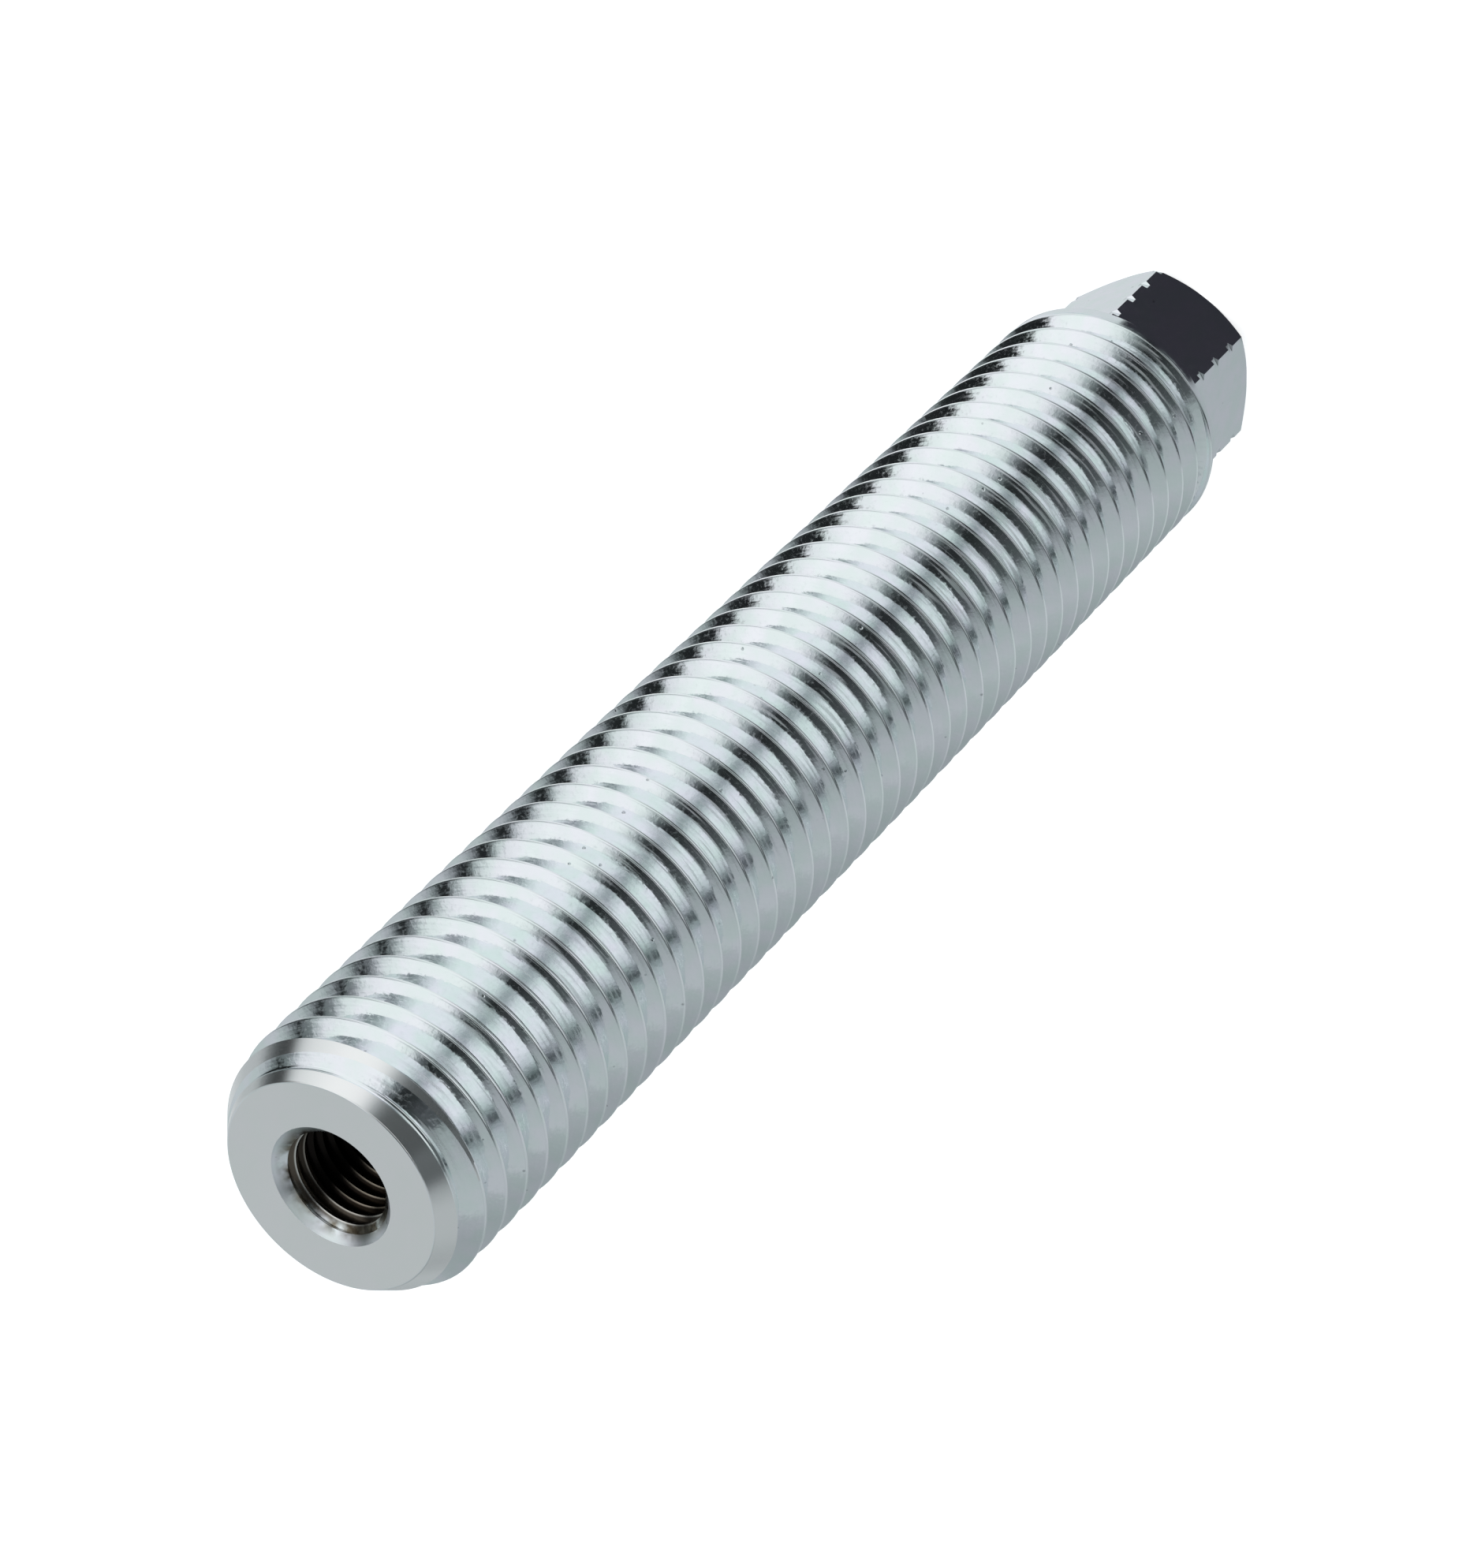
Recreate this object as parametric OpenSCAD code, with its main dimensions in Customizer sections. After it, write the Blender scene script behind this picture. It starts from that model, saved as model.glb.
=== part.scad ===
// Jack bolt: a bar threaded from end to end, with a hexagon cut on one end for
// a spanner and a tapped hole in the other. The bolt stands on its hexagon end
// with the tapped hole facing up. The origin is the centre of the hexagon's end
// face, +Z runs up the bolt, and the hexagon has a corner on +X.

/* [Thread] */
// Diameter over the thread crests
major_d = 23.6; // [20:0.1:28]
// Distance from one crest to the next
pitch = 3; // [2.6:0.1:4]
// Radial depth of the groove, crest to root
thread_depth = 1.94; // [1.2:0.02:2.2]
// Width of the flat on top of each crest
crest_flat = 0.3; // [0.2:0.05:0.6]
// Slope of each flank, from a plane square to the bolt
flank_angle = 30; // [20:1:30]
// Where the thread starts round the bolt, in degrees from +X
thread_phase = 313; // [0:1:360]

/* [Bar] */
// Overall length, end face to end face
overall_length = 143.4; // [80:0.1:160]
// Diameter of the flat face round the tapped hole
tip_face_d = 19; // [16:0.1:20]
// Length of the lead-in chamfer below that face
tip_chamfer_length = 3.4; // [1.5:0.1:6]
// Diameter of the plain ring that ends the thread at the hexagon's shoulder
shoulder_ring_d = 23.4; // [21:0.1:23.4]
// Width of that ring along the bolt
shoulder_ring_width = 1; // [0.3:0.1:3]

/* [Hexagon] */
// Width across the hexagon's flats
hex_across_flats = 17.4; // [14:0.1:19]
// Length of the hexagon, end face to shoulder
hex_length = 13.2; // [8:0.1:24]
// Length of the end chamfer along the hexagon's corners
hex_chamfer_length = 1.2; // [0.4:0.1:3]
// Slope of the end chamfer from the end face
hex_chamfer_angle = 42; // [30:1:60]

/* [Tapped hole] */
// Diameter of the hole before its thread is tapped
bore_d = 8.65; // [6:0.05:10]
// Depth of the full bore below the face
bore_depth = 28; // [15:1:50]
// Included angle of the drill's point
drill_point_angle = 118; // [90:2:140]
// Diameter of the countersink at the face
countersink_d = 10.9; // [10.2:0.1:13]
// Included angle of the countersink
countersink_angle = 90; // [60:5:120]

/* [Resolution] */
// Flat steps in one turn of the thread
thread_steps = 28; // [24:2:30]

/* [Hidden] */
$fn = 96;

// How far a cutting shape runs past the surface that it cuts
margin = 0.5;

major_r = major_d / 2;
root_r = major_r - thread_depth;
hex_corner_r = hex_across_flats / 2 / cos(30);

// The thread's section over one pitch, as radius and height: the flat root,
// a flank up to the crest, and the crest. The next turn closes it.
flank_height = thread_depth * tan(flank_angle);
root_flat = pitch - crest_flat - 2 * flank_height;
thread_section = [
    [root_r, 0],
    [root_r, root_flat],
    [major_r, root_flat + flank_height],
    [major_r, pitch - flank_height],
];

// The thread starts a turn below the end face and ends a turn above the other,
// so that the faces cut it off square.
thread_start = -pitch - margin / 5;
thread_turns = ceil((overall_length - thread_start) / pitch);
thread_strips = thread_turns * thread_steps;

// Corner k of the section, at step i along the helix.
function thread_point(i, k) =
    let (
        angle = 360 * i / thread_steps + thread_phase,
        corner = thread_section[k]
    )
    [
        corner[0] * cos(angle),
        corner[0] * sin(angle),
        thread_start + pitch * i / thread_steps + corner[1],
    ];

// That point's place in the list of points. The corner after the last one is
// the first corner of the next turn.
function thread_index(i, k) = k < 4 ? 4 * i + k : 4 * (i + thread_steps);

// A bar with the thread on it, closed at each end by a fan of triangles.
module threaded_bar() {
    low_centre = 4 * (thread_strips + thread_steps + 1);
    high_centre = low_centre + 1;
    points = [
        for (i = [0 : thread_strips + thread_steps], k = [0 : 3]) thread_point(i, k),
        [0, 0, thread_start],
        [0, 0, thread_start + pitch * (thread_turns + 1)],
    ];
    sides = [
        for (i = [0 : thread_strips - 1], k = [0 : 3]) [
            thread_index(i, k),
            thread_index(i, k + 1),
            thread_index(i + 1, k + 1),
            thread_index(i + 1, k),
        ]
    ];
    low_end = [
        for (i = [0 : thread_steps - 1])
            [low_centre, thread_index(i, 0), thread_index(i + 1, 0)],
        for (k = [0 : 3])
            [low_centre, thread_index(0, k + 1), thread_index(0, k)],
    ];
    high_end = [
        for (i = [thread_strips - thread_steps : thread_strips - 1])
            [high_centre, thread_index(i + 1, 4), thread_index(i, 4)],
        for (k = [0 : 3])
            [high_centre, thread_index(thread_strips, k), thread_index(thread_strips, k + 1)],
    ];
    polyhedron(points, concat(sides, low_end, high_end), convexity = 10);
}

// The hexagon as it is milled, with its end chamfered by a cone. It is cut out
// of the threaded bar, so the thread's root leaves nicks in its corners.
module hexagon() {
    cone_slope = tan(hex_chamfer_angle);
    cone_top_r = hex_corner_r + margin;
    cone_foot_r = hex_corner_r - hex_chamfer_length / cone_slope;
    cone_height = (cone_top_r - cone_foot_r) * cone_slope;
    intersection() {
        cylinder(r = hex_corner_r, h = hex_length + margin, $fn = 6);
        union() {
            cylinder(r1 = cone_foot_r, r2 = cone_top_r, h = cone_height);
            translate([0, 0, cone_height])
                cylinder(r = cone_top_r, h = hex_length);
        }
    }
}

// The turned shape above the shoulder, wider than the crests so that only the
// lead-in chamfer and the two faces cut the thread.
module shank_envelope() {
    chamfer_slope = tip_chamfer_length / (major_r - tip_face_d / 2);
    envelope_r = major_r + margin;
    envelope_corner_z = overall_length - (envelope_r - tip_face_d / 2) * chamfer_slope;
    rotate_extrude()
        polygon([
            [0, hex_length],
            [envelope_r, hex_length],
            [envelope_r, envelope_corner_z],
            [tip_face_d / 2, overall_length],
            [0, overall_length],
        ]);
}

// The drilled hole and its countersink. The tapped thread is cut in its wall.
module tapped_hole() {
    bore_r = bore_d / 2;
    sink_slope = tan(countersink_angle / 2);
    sink_depth = (countersink_d / 2 - bore_r) / sink_slope;
    point_height = bore_r / tan(drill_point_angle / 2);
    translate([0, 0, overall_length])
        rotate_extrude()
            polygon([
                [0, margin],
                [countersink_d / 2 + margin * sink_slope, margin],
                [bore_r, -sink_depth],
                [bore_r, -bore_depth],
                [0, -bore_depth - point_height],
            ]);
}

module jack_bolt() {
    color([0.78, 0.79, 0.8])
        difference() {
            union() {
                intersection() {
                    threaded_bar();
                    union() {
                        hexagon();
                        shank_envelope();
                    }
                }
                translate([0, 0, hex_length])
                    cylinder(d = shoulder_ring_d, h = shoulder_ring_width);
            }
            tapped_hole();
        }
}

jack_bolt();
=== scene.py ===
# %% [markdown]
# # A jack bolt in bright zinc plate
#
# A jack bolt pushes machine parts apart or levels them. This one is a single
# turned bar: a coarse thread from end to end, a hexagon milled on the foot for
# a spanner, and a fine tapped hole in the head. It stands on its hexagon.
#
# Every cell makes one thing and prints what it made. Shapes are modelled in
# millimetres and shrunk to metres at the end, because a bolt's drawing is in
# millimetres and its numbers are easier to read that way.

# %% Load the CAD frame and keep its box
import math

import bmesh
import bpy
from mathutils import Matrix, Vector


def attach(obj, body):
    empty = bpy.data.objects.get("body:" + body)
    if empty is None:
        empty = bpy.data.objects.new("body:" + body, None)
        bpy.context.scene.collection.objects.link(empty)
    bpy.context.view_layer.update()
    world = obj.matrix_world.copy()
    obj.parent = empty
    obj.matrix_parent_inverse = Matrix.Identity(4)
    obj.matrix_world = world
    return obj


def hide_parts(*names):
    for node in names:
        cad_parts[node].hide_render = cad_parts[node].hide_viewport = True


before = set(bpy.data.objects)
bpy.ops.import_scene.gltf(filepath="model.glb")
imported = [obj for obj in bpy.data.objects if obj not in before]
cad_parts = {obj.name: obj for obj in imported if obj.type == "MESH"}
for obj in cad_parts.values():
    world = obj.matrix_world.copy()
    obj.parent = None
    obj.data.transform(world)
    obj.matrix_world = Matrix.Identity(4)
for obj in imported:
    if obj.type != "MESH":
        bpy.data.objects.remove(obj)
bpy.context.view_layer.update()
MM = 0.001

# %% [markdown]
# ## The bolt's sizes
#
# They are the CAD source's sizes. Keeping them together at the top is what a
# maker's drawing does, and lets every later cell speak of the same bolt.

# %% Sizes in millimetres
bolt_length = 143.4
crest_radius = 11.8
thread_pitch = 3.0
thread_depth = 1.94
crest_flat = 0.3
thread_azimuth = math.radians(313)  # where a crest passes first_crest_height
first_crest_height = -1.37
end_face_radius = 9.5
lead_in_length = 3.4
hexagon_length = 13.2
hexagon_flats = 17.4
foot_chamfer_length = 1.2
foot_chamfer_slope = math.tan(math.radians(42))
shoulder_ring_radius = 11.7
shoulder_ring_width = 1.0
hole_radius = 4.325
hole_depth = 28.0
countersink_radius = 5.45
countersink_depth = countersink_radius - hole_radius  # its wall slopes at 45 degrees
thread_root = crest_radius - thread_depth
flank_angle = math.radians(30)  # of both threads, from a plane square to the bolt
margin = 0.5  # how far a blank or a tool runs past the finished bolt
merge_distance = 0.0005  # points nearer than this are one point
print("thread root radius", round(thread_root, 3), "mm")

# %% [markdown]
# ## Three small helpers
#
# A turned shape is a section spun round the axis, and a thread is the same spin
# with a step along the axis each time. Both start from a polyline, so the first
# helper draws one, and the second rounds its corners. The third turns a
# finished bmesh into an object.

# %% Draw a polyline, and hand over a finished mesh
def draw_section(bm, points):
    """A polyline in the XZ plane: each point is (radius, height)."""
    corners = [bm.verts.new((radius, 0, height)) for radius, height in points]
    for a, b in zip(corners, corners[1:]):
        bm.edges.new((a, b))
    return corners


def round_corners(bm, corners, offset):
    """Round some corners of a polyline with three short edges each."""
    bmesh.ops.bevel(bm, geom=corners, offset=offset, offset_type="OFFSET", affect="VERTICES",
                    segments=3, profile=0.5, material=-1)


def finish_object(bm, name):
    """Make an object of a bmesh, with its faces pointing outwards."""
    bmesh.ops.recalc_face_normals(bm, faces=bm.faces)
    mesh = bpy.data.meshes.new(name)
    bm.to_mesh(mesh)
    bm.free()
    made = bpy.data.objects.new(name, mesh)
    bpy.context.scene.collection.objects.link(made)
    print(name, "has", len(mesh.polygons), "faces")
    return made


# %% [markdown]
# ## A helper for threads
#
# A thread could be faked with a bump map, but its outline would stay smooth, so
# it is real geometry. One tooth is drawn from the middle of a root to the
# middle of the next one, its corners are rounded as a worn cutter leaves them,
# and it is spun with a step of one pitch a turn. Neighbouring turns then share
# their edges, so merging doubles makes one surface. Each end is drawn together
# to a point on the axis, which closes the bar for the Boolean cuts to come.

# %% Spin one tooth into a threaded bar
def threaded_bar(name, root, crest, pitch, flat, start, turns, azimuth, steps, crest_round, root_round):
    """A closed bar with a thread on it. The roundings are how far a corner is cut back."""
    flank = (crest - root) * math.tan(flank_angle)
    root_half = (pitch - flat - 2 * flank) / 2
    bm = bmesh.new()
    corners = draw_section(bm, [
        (root, start), (root, start + root_half), (crest, start + root_half + flank),
        (crest, start + pitch - root_half - flank), (root, start + pitch - root_half), (root, start + pitch),
    ])
    round_corners(bm, corners[2:4], crest_round)
    round_corners(bm, [corners[1], corners[4]], root_round)
    bmesh.ops.rotate(bm, verts=bm.verts, cent=(0, 0, 0), matrix=Matrix.Rotation(azimuth, 3, "Z"))
    bmesh.ops.spin(bm, geom=bm.verts[:] + bm.edges[:], cent=(0, 0, 0), axis=(0, 0, 1),
                   dvec=(0, 0, pitch / steps), angle=2 * math.pi, steps=steps)
    one_turn = finish_object(bm, name)
    stack = one_turn.modifiers.new("turns", "ARRAY")
    stack.count = turns
    stack.use_relative_offset, stack.use_constant_offset = False, True
    stack.constant_offset_displace = (0, 0, pitch)
    bm = bmesh.new()
    bm.from_object(one_turn, bpy.context.evaluated_depsgraph_get())
    bpy.data.objects.remove(one_turn)
    bmesh.ops.remove_doubles(bm, verts=bm.verts, dist=pitch / 1000)
    middle = start + pitch * (turns + 1) / 2
    open_edges = [edge for edge in bm.edges if edge.is_boundary]
    for end, height in ((-1, start), (1, start + pitch * (turns + 1))):
        rim = [edge for edge in open_edges if (edge.verts[0].co.z - middle) * end > 0]
        drawn = bmesh.ops.extrude_edge_only(bm, edges=rim)["geom"]
        tip = [item for item in drawn if isinstance(item, bmesh.types.BMVert)]
        bmesh.ops.pointmerge(bm, verts=tip, merge_co=(0, 0, height))
    return finish_object(bm, name)


bar_start = first_crest_height - thread_pitch / 2
bar_turns = math.ceil((bolt_length - bar_start) / thread_pitch)
bolt = threaded_bar("jack_bolt_body", root=thread_root, crest=crest_radius, pitch=thread_pitch,
                    flat=crest_flat, start=bar_start, turns=bar_turns, azimuth=thread_azimuth, steps=90,
                    crest_round=0.09, root_round=0.21)
# In the hexagon's corners the groove is a little wider and deeper, so a bar of its own cuts them.
nick_bar = threaded_bar("nick_bar", root=thread_root - 0.1, crest=crest_radius, pitch=thread_pitch,
                        flat=0.08, start=bar_start, turns=7, azimuth=thread_azimuth, steps=96,
                        crest_round=0.03, root_round=0.08)

# %% [markdown]
# ## The turned blank and the milled hexagon
#
# On the bench the bar is faced and chamfered in a lathe, and the hexagon is
# milled last, down to a shoulder. The same order works here. A revolved blank
# stands for the lathe work. A short bar loses everything beyond six planes,
# which is what bisect_plane with clear_outer does, and each cut is filled.

# %% The turned blank above the shoulder
def turned_shape(name, points, rounded=(), offset=0.1, steps=192):
    """Spin a section that starts and ends on the axis into a closed solid."""
    bm = bmesh.new()
    corners = draw_section(bm, points)
    if rounded:
        round_corners(bm, [corners[i] for i in rounded], offset)
    bmesh.ops.spin(bm, geom=bm.verts[:] + bm.edges[:], cent=(0, 0, 0), axis=(0, 0, 1),
                   angle=2 * math.pi, steps=steps, use_merge=True)
    bmesh.ops.remove_doubles(bm, verts=bm.verts, dist=merge_distance)
    return finish_object(bm, name)


chamfer_slope = lead_in_length / (crest_radius - end_face_radius)
blank_radius = crest_radius + margin
shank_blank = turned_shape("shank_blank", [
    (0, hexagon_length), (blank_radius, hexagon_length),
    (blank_radius, bolt_length - (blank_radius - end_face_radius) * chamfer_slope),
    (end_face_radius, bolt_length), (0, bolt_length)], rounded=(3,), offset=0.1)
ring_top = hexagon_length + shoulder_ring_width
shoulder_ring = turned_shape("shoulder_ring", [
    (0, hexagon_length), (shoulder_ring_radius, hexagon_length), (shoulder_ring_radius, ring_top),
    (0, ring_top)], rounded=(1,), offset=0.08)

# %% The hexagon blank: a chamfered bar with six flats milled on it
corner_radius = hexagon_flats / 2 / math.cos(math.radians(30))
foot_radius = corner_radius - foot_chamfer_length / foot_chamfer_slope
hexagon_top = hexagon_length + 0.4  # a little way inside the shank, so that the two join
hexagon_blank = turned_shape("hexagon_blank", [
    (0, 0), (foot_radius, 0),
    (corner_radius + margin, foot_chamfer_length + margin * foot_chamfer_slope),
    (corner_radius + margin, hexagon_top), (0, hexagon_top)], rounded=(1,), offset=0.04)
bm = bmesh.new()
bm.from_mesh(hexagon_blank.data)
for side in range(6):
    azimuth = math.radians(30 + 60 * side)
    outward = Vector((math.cos(azimuth), math.sin(azimuth), 0))
    cut = bmesh.ops.bisect_plane(bm, geom=bm.verts[:] + bm.edges[:] + bm.faces[:],
                                 plane_co=outward * hexagon_flats / 2, plane_no=outward, clear_outer=True)
    rim = [item for item in cut["geom_cut"] if isinstance(item, bmesh.types.BMEdge)]
    bmesh.ops.contextual_create(bm, geom=rim)
bmesh.ops.recalc_face_normals(bm, faces=bm.faces)
bm.to_mesh(hexagon_blank.data)
print("hexagon blank: open edges", sum(edge.is_boundary for edge in bm.edges))
bm.free()

# %% [markdown]
# ## The tapped hole's tools
#
# A hole like this is drilled, countersunk and tapped. Each tool's sweep is a
# solid, and the bolt loses both. The fine thread is too small for the CAD's
# budget, so it is only made here, as a second, finer threaded bar.

# %% The drill with its countersink, and the tap
drill_point = hole_radius / math.tan(math.radians(59))
drill = turned_shape("drill", [
    (0, bolt_length + margin), (countersink_radius + margin, bolt_length + margin),
    (countersink_radius, bolt_length), (hole_radius, bolt_length - countersink_depth),
    (hole_radius, bolt_length - hole_depth), (0, bolt_length - hole_depth - drill_point)], steps=128)
# The tap's root stays just inside the drilled wall, so that only its teeth cut.
tap = threaded_bar("tap", root=hole_radius - 0.03, crest=5.0, pitch=1.25, flat=0.156,
                   start=bolt_length - 26, turns=22, azimuth=math.radians(40), steps=56,
                   crest_round=0.03, root_round=0.05)

# %% [markdown]
# ## Cutting the bolt
#
# The Manifold solver of the Boolean modifier is fast on dense closed meshes.
# Each cut is applied at once, and its tool is removed, so the finished bolt
# carries no live modifier that depends on a hidden object. The threaded bar
# becomes the shank and the hexagon, which is why the thread's root leaves its
# nicks in the hexagon's corners.

# %% Apply one Boolean cut after another
def machine(stock, tool, operation):
    """Cut the stock with a tool, or join the two, and remove the tool."""
    cut = stock.modifiers.new("cut", "BOOLEAN")
    cut.object, cut.operation, cut.solver = tool, operation, "MANIFOLD"
    view = bpy.context.evaluated_depsgraph_get()
    mesh = bpy.data.meshes.new_from_object(stock.evaluated_get(view))
    stock.modifiers.clear()
    stock.data = mesh
    bpy.data.objects.remove(tool)
    print(stock.name, operation.lower(), "->", len(mesh.polygons), "faces")


machine(hexagon_blank, nick_bar, "INTERSECT")
machine(bolt, shank_blank, "INTERSECT")
machine(bolt, shoulder_ring, "UNION")
machine(bolt, hexagon_blank, "UNION")
machine(bolt, drill, "DIFFERENCE")
machine(bolt, tap, "DIFFERENCE")

# %% [markdown]
# ## Which tool made which face
#
# Each tool leaves its own finish, so the faces are sorted by the tool that cut
# them: turned faces, milled flats, the tapped hole and the thread. An edge
# between two tools' work is marked sharp, and so is every edge over 32 degrees.

# %% Sort the faces, and shrink the bolt to metres
THREADED, TURNED, MILLED, TAPPED = range(4)
on_end_face = 0.005  # a face less deep than this lies in the end face
on_cone = 0.04  # a face nearer than this to the lead-in cone lies on it
below_hole = 60  # deeper than the hole goes


def cutting_tool(face):
    """The tool that cut a face, told from the place of its middle."""
    middle = face.calc_center_median()
    radius, depth = math.hypot(middle.x, middle.y), bolt_length - middle.z
    off_cone = abs(radius - end_face_radius - depth / chamfer_slope)
    if on_end_face < depth < below_hole and radius < countersink_radius - 0.01:
        return TAPPED
    if depth < on_end_face or (off_cone < on_cone and depth < lead_in_length + margin):
        return TURNED
    return MILLED if middle.z < hexagon_length + 0.001 else THREADED


bolt.data.materials.clear()
bm = bmesh.new()
bm.from_mesh(bolt.data)
bmesh.ops.remove_doubles(bm, verts=bm.verts, dist=merge_distance)
bmesh.ops.dissolve_degenerate(bm, edges=bm.edges, dist=merge_distance)
for face in bm.faces:
    face.material_index = cutting_tool(face)
    face.smooth = True
sharp_angle = math.radians(32)
for edge in bm.edges:
    one, other = edge.link_faces
    edge.smooth = edge.calc_face_angle() < sharp_angle and one.material_index == other.material_index
print("open edges", sum(edge.is_boundary for edge in bm.edges), "triangles",
      sum(len(face.verts) - 2 for face in bm.faces))
bmesh.ops.scale(bm, vec=(MM, MM, MM), verts=bm.verts)
bm.to_mesh(bolt.data)
bm.free()

# %% [markdown]
# ## Shading normals
#
# A mirror finish shows every fault in the normals. The Booleans leave thin
# slivers of faces beside the cuts, and these would drag the shading with them.
# Weighted normals let the large faces decide. On the lead-in chamfer and the
# countersink even that isn't smooth enough, but a cone's normal is known at
# every point, so there it is simply written down.

# %% Weighted normals everywhere, true cone normals on the two chamfers
weighted = bolt.modifiers.new("large faces lead", "WEIGHTED_NORMAL")
weighted.keep_sharp = True
weighted.weight = 50
machined = bpy.data.meshes.new_from_object(bolt.evaluated_get(bpy.context.evaluated_depsgraph_get()))
bolt.modifiers.clear()
bolt.data = machined
normals = [corner.vector.copy() for corner in machined.corner_normals]
rewritten = 0
for face in machined.polygons:
    depth = bolt_length - face.center.z / MM
    # The end face looks straight up, and the hole's thread nearly sideways.
    if face.material_index == TURNED and face.normal.z < 0.7:
        outwards, rise = 1, 1 / chamfer_slope
    elif face.material_index == TAPPED and depth < countersink_depth and face.normal.z > 0.6:
        outwards, rise = -1, 1
    else:
        continue
    for corner in face.loop_indices:
        place = machined.vertices[machined.loops[corner].vertex_index].co
        slanted = Vector((outwards * place.x, outwards * place.y, rise * place.xy.length))
        normals[corner] = slanted.normalized()
        rewritten += 1
machined.normals_split_custom_set(normals)
print("face corners with a cone's own normal:", rewritten)

# %% The finished bolt stands for the CAD node, and rides on its body
bolt.name = "bolt"
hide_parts("jack_bolt")
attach(bolt, "root")

# %% [markdown]
# ## Helpers for node trees
#
# A procedural finish is a small graph of nodes. These helpers add a node with
# its options, values and links in one line, so a finish below reads like a
# recipe.

# %% Small helpers for node trees
def add_node(tree, kind, links=(), values=(), **settings):
    """Add a node with its options, its values and its incoming links, by socket name or number."""
    made = tree.nodes.new("ShaderNode" + kind)
    for key, setting in settings.items():
        setattr(made, key, setting)
    for socket, value in dict(values).items():
        made.inputs[socket].default_value = value
    for socket, source in dict(links).items():
        tree.links.new(source, made.inputs[socket])
    return made


def maths(tree, operation, a, b):
    """One Math node: each input is a number or another node's output."""
    made = add_node(tree, "Math", operation=operation)
    for socket, value in enumerate((a, b)):
        if isinstance(value, (int, float)):
            made.inputs[socket].default_value = value
        else:
            tree.links.new(value, made.inputs[socket])
    return made.outputs["Value"]


def blend(tree, factor, a, b, kind="FLOAT"):
    """Mix two values, or two colours with kind RGBA."""
    made = add_node(tree, "Mix", data_type=kind)
    slots = [socket for socket in made.inputs if socket.enabled]
    for socket, value in zip(slots, (factor, a, b)):
        if isinstance(value, (int, float, tuple)):
            socket.default_value = value
        else:
            tree.links.new(value, socket)
    return [socket for socket in made.outputs if socket.enabled][0]


def empty_tree(owner):
    """The node tree of a material or a world, with no node in it."""
    owner.use_nodes = True
    owner.node_tree.nodes.clear()
    return owner.node_tree


# %% [markdown]
# ## Zinc plate
#
# Bright zinc is a thin metal layer over the turned steel, faintly violet and
# green in patches, with a few dull specks. It follows every mark under it: the
# swells and cutter's lines of the thread, the rings of the facing tool, the
# lines of the mill. Image textures could show this, but they would need
# unwrapping and would blur close up. Noise in the bolt's own coordinates has
# neither fault. A metal this bright shows little of its own colour, so most
# marks come from bump, and the dull grains and streaks from roughness: they
# hardly show in a white reflection, and speckle a dark one.

# %% The bolt's own coordinates in millimetres
def bolt_place(tree):
    """Position on the bolt, its distance from the axis and its height, in millimetres."""
    metres = add_node(tree, "TexCoord").outputs["Object"]
    place = add_node(tree, "VectorMath", {0: metres}, {"Scale": 1000}, operation="SCALE").outputs["Vector"]
    level = add_node(tree, "VectorMath", {0: place}, {1: (1, 1, 0)}, operation="MULTIPLY").outputs["Vector"]
    radius = add_node(tree, "VectorMath", {0: level}, operation="LENGTH").outputs["Value"]
    height = add_node(tree, "SeparateXYZ", {"Vector": place}).outputs["Z"]
    return place, radius, height


def ramp(tree, value, low, high, start=0.0, end=1.0):
    """Map low..high to start..end, clamped at both ends."""
    made = add_node(tree, "MapRange", {"Value": value},
                    {"From Min": low, "From Max": high, "To Min": start, "To Max": end})
    return made.outputs["Result"]


def noise(tree, place, per_mm, detail=2.0, low=0.0, high=1.0):
    """Cloudy noise, stretched so that low to high becomes 0 to 1."""
    cloud = add_node(tree, "TexNoise", {"Vector": place}, {"Scale": per_mm, "Detail": detail})
    return ramp(tree, cloud.outputs["Fac"], low, high)


def soft_noise(tree, place, per_mm):
    """Cloudy noise with one octave of detail, as it comes."""
    return add_node(tree, "TexNoise", {"Vector": place}, {"Scale": per_mm, "Detail": 1.0}).outputs["Fac"]


def lines_across(tree, value, place, spacing, wander):
    """Tool marks: thin random lines, each at one value, such as one radius or one height."""
    strayed = maths(tree, "ADD", maths(tree, "MULTIPLY", noise(tree, place, 0.25), wander), value)
    line = add_node(tree, "CombineXYZ", {"X": strayed}).outputs["Vector"]
    return add_node(tree, "TexNoise", {"Vector": line}, {"Scale": 1 / spacing, "Detail": 3}).outputs["Fac"]


def towards_streaked_and_shaded_side(tree, place):
    """Distance from the axis towards the side with more streaks, and with painted shade in the hole."""
    return add_node(tree, "VectorMath", {0: place}, {1: (-0.37, 0.93, 0)},
                    operation="DOT_PRODUCT").outputs["Value"]


# %% The plate's colour, cool patches and sparse dull specks, and a helper that makes a finish
def plate_colour(tree, place, specks=0.55):
    """The plate's colour, and where its specks are."""
    green, violet, grey = (0.83, 0.90, 0.89, 1), (0.89, 0.90, 0.94, 1), (0.25, 0.27, 0.28, 1)
    patches = blend(tree, noise(tree, place, 0.45, 3, 0.38, 0.62), green, violet, "RGBA")
    cells = add_node(tree, "TexVoronoi", {"Vector": place}, {"Scale": 0.5}).outputs
    chance = add_node(tree, "SeparateColor", {"Color": cells["Color"]}).outputs["Red"]
    chosen = maths(tree, "GREATER_THAN", chance, 0.5)
    spot = maths(tree, "MULTIPLY", chosen, ramp(tree, cells["Distance"], 0.045, 0.085, 1, 0))
    return blend(tree, maths(tree, "MULTIPLY", spot, specks), patches, grey, "RGBA"), spot


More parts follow.
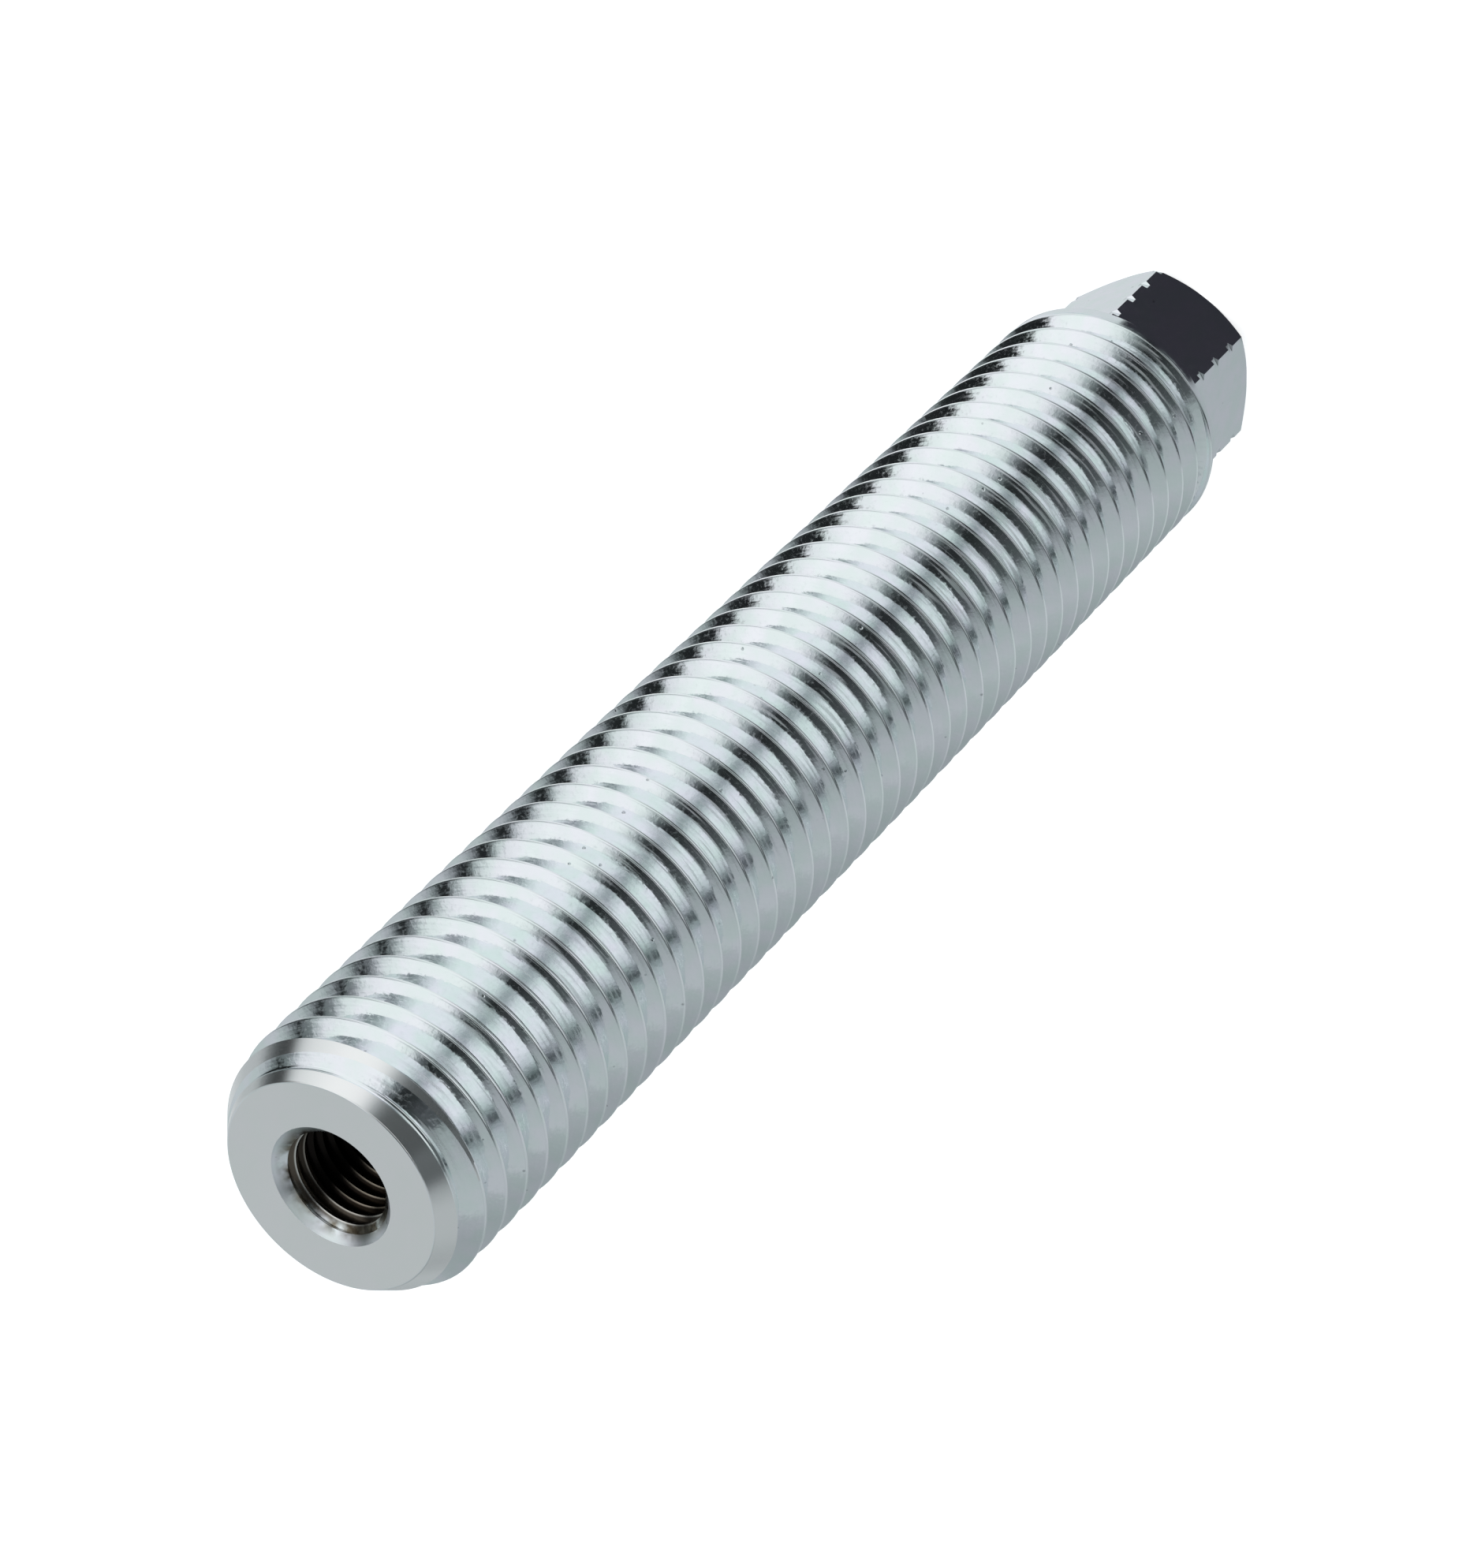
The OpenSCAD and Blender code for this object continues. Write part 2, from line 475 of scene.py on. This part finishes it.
def finish(name, build):
    """A metal whose colour, roughness and bump height come from build(tree)."""
    material = bpy.data.materials.new(name)
    tree = empty_tree(material)
    colour, roughness, height, depth = build(tree)
    bump = add_node(tree, "Bump", {"Height": height}, {"Distance": depth * MM, "Strength": 1.0})
    metal = add_node(tree, "BsdfPrincipled", {"Base Color": colour, "Roughness": roughness,
                                              "Normal": bump.outputs["Normal"]}, {"Metallic": 1.0})
    add_node(tree, "OutputMaterial", {"Surface": metal.outputs["BSDF"]})
    bolt.data.materials.append(material)
    print(name, "has", len(tree.nodes), "nodes")


# %% The thread: soft swells, the cutter's lines along it, dull grains and streaks, and rubbed crests
def threaded(tree):
    place, radius, _ = bolt_place(tree)
    colour, spot = plate_colour(tree, place)
    grain = noise(tree, place, 3.2, 1, 0.48, 0.80)
    swell = soft_noise(tree, place, 1.1)
    # On a flank, a line of one radius runs along the thread, as the cutter did.
    along = add_node(tree, "VectorMath", {0: place}, {"Scale": 0.05}, operation="SCALE").outputs["Vector"]
    cutter = add_node(tree, "TexNoise", {"Vector": along, "W": radius}, {"Scale": 3.6, "Detail": 1.0},
                      noise_dimensions="4D").outputs["Fac"]
    relief = maths(tree, "ADD", maths(tree, "MULTIPLY", grain, 0.15), maths(tree, "MULTIPLY", swell, 0.6))
    relief = maths(tree, "ADD", relief, maths(tree, "MULTIPLY", cutter, 0.6))
    relief = maths(tree, "SUBTRACT", relief, maths(tree, "MULTIPLY", spot, 1.2))
    # The cutter dragged more on one side of the bar, and left more dull streaks there.
    side = towards_streaked_and_shaded_side(tree, place)
    streaked = maths(tree, "MULTIPLY", ramp(tree, side, 4.5, 0.5, 0.2, 1), ramp(tree, side, -8, -5, 0.1, 1))
    streak = maths(tree, "MULTIPLY", ramp(tree, cutter, 0.52, 0.66), streaked)
    dull = maths(tree, "MAXIMUM", maths(tree, "MULTIPLY", grain, 0.6), streak)
    flank_roughness = blend(tree, dull, 0.05, 0.34)
    on_crest = ramp(tree, radius, crest_radius - 0.14, crest_radius - 0.08)
    return colour, blend(tree, on_crest, flank_roughness, 0.15), relief, 0.012


finish("zinc_thread", threaded)


# %% Turned faces: rings about the axis, finer and shinier on the lead-in chamfer
def turned(tree):
    place, radius, _ = bolt_place(tree)
    colour, _ = plate_colour(tree, place, specks=0.1)
    neutral = blend(tree, 0.75, colour, (0.91, 0.90, 0.885, 1), "RGBA")
    rings = lines_across(tree, radius, place, spacing=0.12, wander=0.15)
    relief = maths(tree, "ADD", rings, maths(tree, "MULTIPLY", soft_noise(tree, place, 1.5), 0.5))
    roughness = ramp(tree, radius, end_face_radius - 0.1, end_face_radius + 0.1, 0.26, 0.20)
    return neutral, roughness, relief, 0.0015


finish("zinc_turned", turned)


# %% Milled flats: lines across the hexagon
def milled(tree):
    place, _, height = bolt_place(tree)
    colour, _ = plate_colour(tree, place)
    lines = lines_across(tree, height, place, spacing=0.10, wander=0.5)
    relief = maths(tree, "ADD", lines, maths(tree, "MULTIPLY", noise(tree, place, 1.2, 2), 0.5))
    roughness = ramp(tree, noise(tree, place, 1.0, 3), 0.3, 0.7, 0.12, 0.20)
    return colour, roughness, relief, 0.0015


finish("zinc_milled", milled)


# %% The tapped hole: patchy plate on the countersink, then bare steel with painted shade deeper down
def tapped(tree):
    place, radius, height = bolt_place(tree)
    colour, _ = plate_colour(tree, place)
    depth = maths(tree, "SUBTRACT", bolt_length, height)
    dark_brown, pale_brown = (0.10, 0.08, 0.055, 1), (0.34, 0.31, 0.25, 1)
    brown = blend(tree, noise(tree, place, 0.8, 2, 0.40, 0.60), dark_brown, pale_brown, "RGBA")
    inner_edge = ramp(tree, depth, 0.15 * countersink_depth, 0.8 * countersink_depth)
    stain = maths(tree, "MULTIPLY", inner_edge, noise(tree, place, 0.5, 3, 0.38, 0.52))
    patchy = blend(tree, stain, colour, brown, "RGBA")
    # The first turns are silvery steel. Painted shade darkens the next turns, and the groove of both.
    groove = ramp(tree, radius, hole_radius + 0.03, hole_radius + 0.14)
    steel = blend(tree, groove, (0.75, 0.73, 0.69, 1), (0.12, 0.10, 0.08, 1), "RGBA")
    shaded_deep_turns = blend(tree, groove, (0.30, 0.26, 0.21, 1), (0.015, 0.011, 0.008, 1), "RGBA")
    turns = blend(tree, ramp(tree, depth, 1.8, 3.4), steel, shaded_deep_turns, "RGBA")
    wall = blend(tree, ramp(tree, depth, countersink_depth, countersink_depth + 0.3), patchy, turns, "RGBA")
    # Painted shade: the wall goes nearly black on one side from 2.4 mm down, and all round from 6 mm down.
    side = towards_streaked_and_shaded_side(tree, place)
    painted_hole_shade = maths(tree, "MULTIPLY", ramp(tree, side, -2.6, 0.2), ramp(tree, depth, 2.4, 3.6))
    painted_hole_shade = maths(tree, "MAXIMUM", painted_hole_shade, ramp(tree, depth, 6, 11))
    deep = blend(tree, painted_hole_shade, wall, (0.012, 0.010, 0.009, 1), "RGBA")
    roughness = ramp(tree, depth, 0, countersink_depth + 0.2, 0.38, 0.22)
    return deep, roughness, noise(tree, place, 3, 2), 0.008


finish("zinc_tapped", tapped)

# %% [markdown]
# ## The studio
#
# Bright metal has hardly any colour of its own: it shows whatever stands round
# it. In a studio such a bolt stands in a paper tent with white, grey and black
# panels, and the panels become its highlights and its dark bands. The tent here
# is a dome with four rows of soft-edged panels, one above the other: the third
# row has a broad white lamp in front, and the top row is dark there. A round
# mat on the floor has panels of its own, which pass from the bolt's foot out to
# the tent. The camera looks through both, so the background is the plain white
# floor and room. A lamp would give one small glint on each crest, and a whole
# dome of panels gives each flank its own light and dark.

# %% Panels round the bolt: level by the angle from the camera in degrees, left is positive
CAMERA_SIDE = math.radians(21.6)
# The tent's rows, from the floor up to the top of the dome.
tent_low = {
    -180: 0.55, -165: 0.48, -150: 0.34, -130: 0.34, -118: 0.42, -105: 0.49, -80: 0.52, -66: 0.45,
    -58: 0.06, -45: 0.02, 10: 0.02, 18: 0.20, 26: 0.60, 34: 0.85, 54: 0.92, 62: 0.66, 68: 0.36,
    73: 0.25, 86: 0.25, 93: 0.30, 104: 0.22, 114: 0.19, 121: 0.25, 130: 0.40, 145: 0.52,
}
tent_middle = {
    -180: 0.55, -165: 0.52, -150: 0.38, -132: 0.36, -118: 0.43, -105: 0.48, -80: 0.49, -65: 0.36,
    -57: 0.10, -35: 0.13, -28: 0.07, 10: 0.07, 14: 0.12, 18: 0.22, 22: 0.38, 26: 0.60, 30: 0.82,
    35: 0.91, 44: 0.95, 60: 0.95, 75: 0.86, 88: 0.78, 94: 0.66, 98: 0.42, 101: 0.01, 121: 0.02,
    123: 0.12, 127: 0.38, 132: 0.54, 145: 0.58,
}
tent_lamp = {
    -180: 0.54, -110: 0.50, -90: 0.45, -72: 0.40, -64: 0.30, -57: 0.15, -48: 0.12, -43: 0.12,
    -38: 0.85, 27: 0.85, 31: 0.42, 34: 0.42, 38: 0.62, 43: 0.80, 52: 0.94, 90: 0.97, 98: 0.92,
    104: 0.86, 109: 0.78, 113: 0.50, 116: 0.20, 122: 0.15, 129: 0.50,
}
tent_high = {
    -180: 0.54, -110: 0.50, -90: 0.43, -72: 0.36, -64: 0.27, -57: 0.10, -40: 0.07, -20: 0.045,
    -4: 0.025, 12: 0.025, 20: 0.09, 26: 0.17, 30: 0.28, 34: 0.42, 38: 0.58, 43: 0.75, 52: 0.89,
    60: 0.94, 98: 0.92, 104: 0.86, 109: 0.78, 113: 0.50, 116: 0.20, 122: 0.15, 129: 0.50,
}
# The mat's rings, from the bolt's foot outwards.
mat_foot = {
    -180: 0.85, -150: 0.48, -30: 0.44, -22: 0.03, 37: 0.03, 41: 0.70, 150: 0.72,
}
mat_near = {
    -180: 0.85, -170: 0.78, -160: 0.42, -148: 0.34, -125: 0.46, -105: 0.58, -80: 0.62, -71: 0.56,
    -63: 0.30, -57: 0.06, -50: 0.06, -44: 0.24, -36: 0.34, -23: 0.40, -10: 0.36, -2: 0.26, 4: 0.13,
    9: 0.02, 17: 0.01, 22: 0.14, 28: 0.24, 36: 0.38, 42: 0.54, 48: 0.67, 56: 0.78, 66: 0.85,
    94: 0.88, 106: 1.0, 136: 1.0, 148: 0.75, 160: 0.80,
}
mat_far = {
    -180: 0.60, -165: 0.44, -145: 0.50, -128: 0.38, -110: 0.48, -75: 0.55, -66: 0.50, -60: 0.34,
    -55: 0.08, -50: 0.14, -43: 0.48, -30: 0.74, -9: 0.76, -3: 0.64, 1: 0.50, 5: 0.34, 9: 0.32,
    14: 0.54, 19: 0.80, 28: 0.93, 50: 0.95, 62: 0.88, 72: 0.82, 80: 0.73, 90: 0.60, 100: 0.44,
    111: 0.26, 120: 0.34, 140: 0.68,
}
mat_edge = {
    -180: 0.60, -165: 0.44, -145: 0.50, -128: 0.38, -110: 0.48, -75: 0.55, -66: 0.50, -60: 0.34,
    -55: 0.08, -50: 0.20, -43: 0.60, -30: 0.90, -9: 0.93, -3: 0.82, 1: 0.66, 5: 0.44, 9: 0.44,
    14: 0.66, 19: 0.86, 30: 0.95, 52: 0.95, 60: 0.74, 67: 0.38, 73: 0.25, 88: 0.28, 104: 0.16,
    114: 0.18, 128: 0.50,
}
panel_count = sum(map(len, (tent_low, tent_middle, tent_lamp, tent_high,
                            mat_foot, mat_near, mat_far, mat_edge)))
print("panel levels in the tent and on the mat:", panel_count)


# %% Helpers for papers and for pieces of the stage
def panel_ring(tree, coordinates, panels, violet=0.0):
    """Soft paper panels round the vertical axis. Darker paper is cooler, and may be violet."""
    turned_round = add_node(tree, "Mapping", {"Vector": coordinates}, {"Rotation": (0, 0, -CAMERA_SIDE)})
    angle = add_node(tree, "TexGradient", {"Vector": turned_round.outputs["Vector"]}, gradient_type="RADIAL")
    ring = add_node(tree, "ValToRGB", {"Fac": angle.outputs["Fac"]})
    stops = ring.color_ramp.elements
    for index, (degrees, level) in enumerate(sorted(panels.items())):
        place = (degrees + 180) / 360
        stop = stops[index] if index < 2 else stops.new(place)
        red, blue = level * (0.87 + 0.11 * level), level * (1.05 - 0.04 * level)
        stop.position, stop.color = place, (red + 0.6 * violet, level, blue + violet, 1)
    return ring.outputs["Color"]


def next_rings(tree, coordinates, along, panels, rings):
    """Pass from the first panels to each next ring, between two values of a height or a distance."""
    for start, end, ring in rings:
        passed = ramp(tree, along, start, end)
        panels = blend(tree, passed, panels, panel_ring(tree, coordinates, ring), "RGBA")
    return panels


def new_paper(name):
    """A paper for the stage. Its glow isn't sampled as a lamp, which would only add noise."""
    paper = bpy.data.materials.new(name)
    paper.cycles.emission_sampling = "NONE"
    return paper, empty_tree(paper)


def stage_piece(bm, name, material):
    """Make a piece of the stage, which is no part of the bolt."""
    made = finish_object(bm, name)
    made.data.materials.append(material)
    return made


# %% The tent: a dome with four rows of panels
tent_paper, tree = new_paper("tent_paper")
place_in_tent = add_node(tree, "TexCoord").outputs["Object"]
towards = add_node(tree, "VectorMath", {0: place_in_tent}, operation="NORMALIZE").outputs["Vector"]
upwards = add_node(tree, "SeparateXYZ", {"Vector": towards}).outputs["Z"]
panels = next_rings(tree, place_in_tent, upwards, panel_ring(tree, place_in_tent, tent_low), (
    (0.04, 0.12, tent_middle), (0.660, 0.690, tent_lamp), (0.835, 0.855, tent_high)))
glow = add_node(tree, "Emission", {"Color": panels})
add_node(tree, "OutputMaterial", {"Surface": glow.outputs["Emission"]})
tent_radius = 1.45
bm = bmesh.new()
bmesh.ops.create_uvsphere(bm, u_segments=64, v_segments=32, radius=tent_radius)
bmesh.ops.bisect_plane(bm, geom=bm.verts[:] + bm.edges[:] + bm.faces[:], plane_co=(0, 0, 0.001),
                       plane_no=(0, 0, -1), clear_outer=True)
for face in bm.faces:
    face.smooth = True
tent = stage_piece(bm, "tent", tent_paper)
tent.visible_camera = False

# %% The mat: panels on the floor, which pass from the bolt's foot out to the tent
mat_paper, tree = new_paper("mat_paper")
place_on_mat = add_node(tree, "TexCoord").outputs["Object"]
distance = add_node(tree, "VectorMath", {0: place_on_mat}, operation="LENGTH").outputs["Value"]
panels = next_rings(tree, place_on_mat, distance, panel_ring(tree, place_on_mat, mat_foot, violet=0.007), (
    (0.021, 0.024, mat_near), (0.085, 0.175, mat_far), (0.26, 0.50, mat_edge)))
glow = add_node(tree, "Emission", {"Color": panels})
add_node(tree, "OutputMaterial", {"Surface": glow.outputs["Emission"]})
mat_radius = 1.4
hair_above_floor = 0.00002
bm = bmesh.new()
bmesh.ops.create_circle(bm, cap_ends=True, segments=96, radius=mat_radius)
bmesh.ops.translate(bm, verts=bm.verts, vec=(0, 0, hair_above_floor))
mat = stage_piece(bm, "mat", mat_paper)
mat.visible_camera = mat.visible_diffuse = mat.visible_shadow = False


# %% The floor, white where the camera or a reflection sees it, with the bolt's soft shadow
def seen(tree):
    """1 for a ray from the camera, off a mirror or through glass, and 0 for one that only carries light."""
    ray = add_node(tree, "LightPath").outputs
    direct = maths(tree, "MAXIMUM", ray["Is Camera Ray"], ray["Is Glossy Ray"])
    return maths(tree, "MAXIMUM", direct, ray["Is Transmission Ray"])


floor_paper, tree = new_paper("floor_paper")
matt = add_node(tree, "BsdfDiffuse", values={"Color": (0.9, 0.9, 0.9, 1)})
floor_glow = 0.75  # with the light that the matt paper gives back, this comes out white
glow = add_node(tree, "Emission", {"Strength": maths(tree, "MULTIPLY", seen(tree), floor_glow)})
both = add_node(tree, "AddShader", {0: matt.outputs["BSDF"], 1: glow.outputs["Emission"]})
add_node(tree, "OutputMaterial", {"Surface": both.outputs["Shader"]})
floor_half_width = 1.5
bm = bmesh.new()
bmesh.ops.create_grid(bm, x_segments=1, y_segments=1, size=floor_half_width)
stage_piece(bm, "floor", floor_paper)

# %% The room behind the tent is white for the camera and for reflections
world = bpy.data.worlds.new("studio")
bpy.context.scene.world = world
tree = empty_tree(world)
room = add_node(tree, "Background", {"Strength": blend(tree, seen(tree), 0.6, 1.0)}, {"Color": (1, 1, 1, 1)})
add_node(tree, "OutputWorld", {"Surface": room.outputs["Background"]})
print("the room's tree has", len(tree.nodes), "nodes")

# %% [markdown]
# ## The camera
#
# Through a short lens held close, a bolt this long would swell at its near end
# and shrink at the far one. A long lens from farther off keeps its sides nearly
# parallel. The camera stands to one side of the bolt and above it, and looks
# down on the tapped end. Its three directions are unit vectors, and they are
# turned round the bolt together with its place.

# %% The camera
across = Matrix.Rotation(CAMERA_SIDE, 3, "Z")
right = across @ Vector((0.50396, -0.70511, -0.49884))
up = across @ Vector((0.50122, 0.70909, -0.49595))
ahead = across @ Vector((-0.70342, 0.00009, -0.71077))
place = across @ Vector((337.2, 0, bolt_length + 278.5)) * MM
lens = bpy.data.cameras.new("camera")
lens.sensor_fit = "HORIZONTAL"
lens.sensor_width = 36
lens.lens = 139.07
lens.clip_start = 0.01
camera = bpy.data.objects.new("camera", lens)
bpy.context.scene.collection.objects.link(camera)
camera.matrix_world = Matrix.Translation(place) @ Matrix((right, up, -ahead)).transposed().to_4x4()
bpy.context.scene.camera = camera
bpy.context.scene.view_settings.view_transform = "Standard"
print("camera", round(place.length, 3), "m from the bolt's foot, lens", round(lens.lens, 1), "mm")
